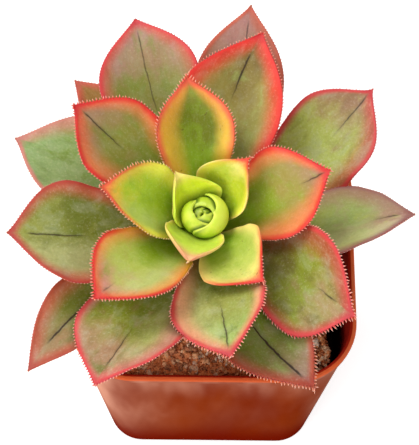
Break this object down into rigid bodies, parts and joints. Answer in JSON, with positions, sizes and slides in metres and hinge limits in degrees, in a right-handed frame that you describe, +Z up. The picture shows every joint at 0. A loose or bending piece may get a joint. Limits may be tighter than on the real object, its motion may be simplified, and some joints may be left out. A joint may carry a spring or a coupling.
{
  "type": "potted succulent rosette",
  "caption": "Leafy succulent rosette of pointed, cupped leaves in a spiral round a closed bud, growing from soil in a square tapered plastic pot.",
  "frame": {"origin": "middle of the pot's flat underside, on the surface that the pot stands on", "axes": "+Z up through the pot; X and Y square to the pot's sides; the picture is taken from -Y and above"},
  "size_m": [0.0889, 0.0923, 0.0865],
  "materials": {
    "pot_plastic": "satin terracotta-coloured moulded plastic",
    "soil": "loose gritty potting mix",
    "stem": "rough green-brown bark",
    "bud_leaf": "smooth fleshy leaf, yellow-green",
    "young_leaf": "smooth fleshy leaf, lime with yellow band and red margin",
    "middle_leaf": "smooth fleshy leaf, green to olive with red margin",
    "old_leaf": "smooth fleshy leaf, olive to mauve-brown with red margin"
  },
  "bodies": {
    "root": {"pot": "pot_plastic", "soil": "soil", "stem": "stem", "bud": "bud_leaf", "leaf_01": "young_leaf", "leaf_02": "young_leaf", "leaf_03": "young_leaf", "leaf_04": "young_leaf", "leaf_05": "young_leaf", "leaf_06": "middle_leaf", "leaf_07": "middle_leaf", "leaf_08": "middle_leaf", "leaf_09": "middle_leaf", "leaf_10": "middle_leaf", "leaf_11": "middle_leaf", "leaf_12": "middle_leaf", "leaf_13": "middle_leaf", "leaf_14": "old_leaf", "leaf_15": "old_leaf", "leaf_16": "old_leaf", "leaf_17": "old_leaf", "leaf_18": "old_leaf", "leaf_19": "old_leaf", "leaf_20": "old_leaf", "leaf_21": "old_leaf", "leaf_22": "old_leaf"}
  },
  "joints": []
}
